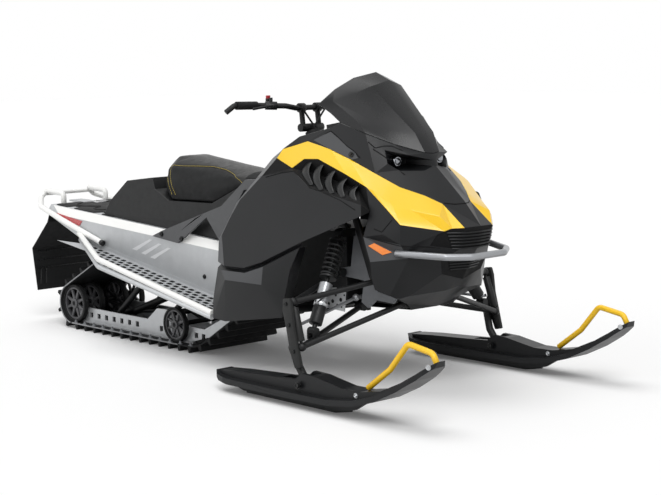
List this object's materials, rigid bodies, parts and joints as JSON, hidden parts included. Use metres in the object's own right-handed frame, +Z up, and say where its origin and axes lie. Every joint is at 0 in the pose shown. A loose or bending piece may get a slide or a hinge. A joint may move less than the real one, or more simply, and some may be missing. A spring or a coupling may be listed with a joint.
{
  "type": "snowmobile",
  "caption": "Trail snowmobile with two steerable skis, a lugged rubber track under a sheet tunnel, long saddle, low windshield and handlebar.",
  "frame": {"origin": "on the ground, at the middle of the bounding box's base", "axes": "+X forwards to the ski tips, +Y to the machine's left, +Z up"},
  "size_m": [3.036, 1.217, 1.221],
  "materials": {
    "black_frame": "satin black powder coat",
    "tunnel_metal": "satin",
    "cast_grey": "cast, matt",
    "steel": "satin",
    "white_tube": "gloss",
    "silver_tube": "satin",
    "yellow_tube": "gloss",
    "black_body": "satin, fine grain",
    "yellow_body": "gloss",
    "smoke_screen": "smoked, glossy",
    "seat_cover": "grained vinyl",
    "rubber": "matt",
    "red_lens": "prismatic",
    "amber_lens": "prismatic",
    "lamp": "clear",
    "wheel_plastic": "satin",
    "engine_metal": "cast, dark"
  },
  "bodies": {
    "chassis": {"tunnel": "tunnel_metal", "running_boards": "tunnel_metal", "rear_bumper": "white_tube", "snow_flap": "rubber", "tail_reflectors": "red_lens", "seat_base": "black_body", "seat": "seat_cover", "upper_frame": "black_frame", "front_frame": "cast_grey", "engine": "engine_metal", "track": "rubber", "track_wheels": "wheel_plastic", "slide_rails": "cast_grey", "skid_frame": "steel", "drive_axle": "steel", "hood": "black_body", "accent_panels": "yellow_body", "console": "black_body", "side_panels": "black_body", "side_vents": "black_body", "lower_panels": "black_body", "nose_cowl": "black_body", "front_grilles": "black_body", "belly_pan": "black_body", "windshield": "smoke_screen", "suspension_arms": "black_frame", "shocks": "cast_grey", "shock_springs": "black_frame", "front_bumper": "silver_tube", "headlamps": "lamp", "side_reflectors": "amber_lens", "gauge": "black_body"},
    "steering": {"steering_post": "black_frame", "handlebar": "black_frame", "handlebar_grips": "rubber", "control_blocks": "black_body", "post_boot": "rubber", "control_cables": "rubber"},
    "tie_rod_set": {"tie_rods": "steel"},
    "knuckle_left": {"spindle_left": "black_frame"},
    "knuckle_right": {"spindle_right": "black_frame"},
    "front_ski_left": {"ski_left": "black_body", "ski_loop_left": "yellow_tube"},
    "front_ski_right": {"ski_right": "black_body", "ski_loop_right": "yellow_tube"}
  },
  "joints": [
    {"name": "steering_turn", "type": "hinge", "parent": "chassis", "child": "steering", "pos_m": [0.296, 0, 1.004], "axis": [-0.4179, 0, 0.9085], "range_deg": [-36, 36]},
    {"name": "tie_rod_shift", "type": "slide", "parent": "chassis", "child": "tie_rod_set", "axis": [0, 1, 0], "range_m": [-0.0226, 0.0226]},
    {"name": "ski_steer_left", "type": "hinge", "parent": "chassis", "child": "knuckle_left", "pos_m": [0.826, 0.54496, 0.222], "axis": [-0.3124, -0.0444, 0.9489], "range_deg": [-30.01, 30.01]},
    {"name": "ski_steer_right", "type": "hinge", "parent": "chassis", "child": "knuckle_right", "pos_m": [0.826, -0.54496, 0.222], "axis": [-0.3124, 0.0444, 0.9489], "range_deg": [-30.01, 30.01]},
    {"name": "ski_pitch_left", "type": "hinge", "parent": "knuckle_left", "child": "front_ski_left", "pos_m": [0.84522, 0.5385, 0.08594], "axis": [0, 1, 0], "range_deg": [-15, 10]},
    {"name": "ski_pitch_right", "type": "hinge", "parent": "knuckle_right", "child": "front_ski_right", "pos_m": [0.84522, -0.5385, 0.08594], "axis": [0, 1, 0], "range_deg": [-15, 10]}
  ],
  "couplings": [
    {"joint": "ski_steer_left", "follows": "steering_turn", "ratio": 0.83333},
    {"joint": "ski_steer_right", "follows": "steering_turn", "ratio": 0.83333},
    {"joint": "tie_rod_shift", "follows": "steering_turn", "m_per_rad": -0.03581}
  ]
}
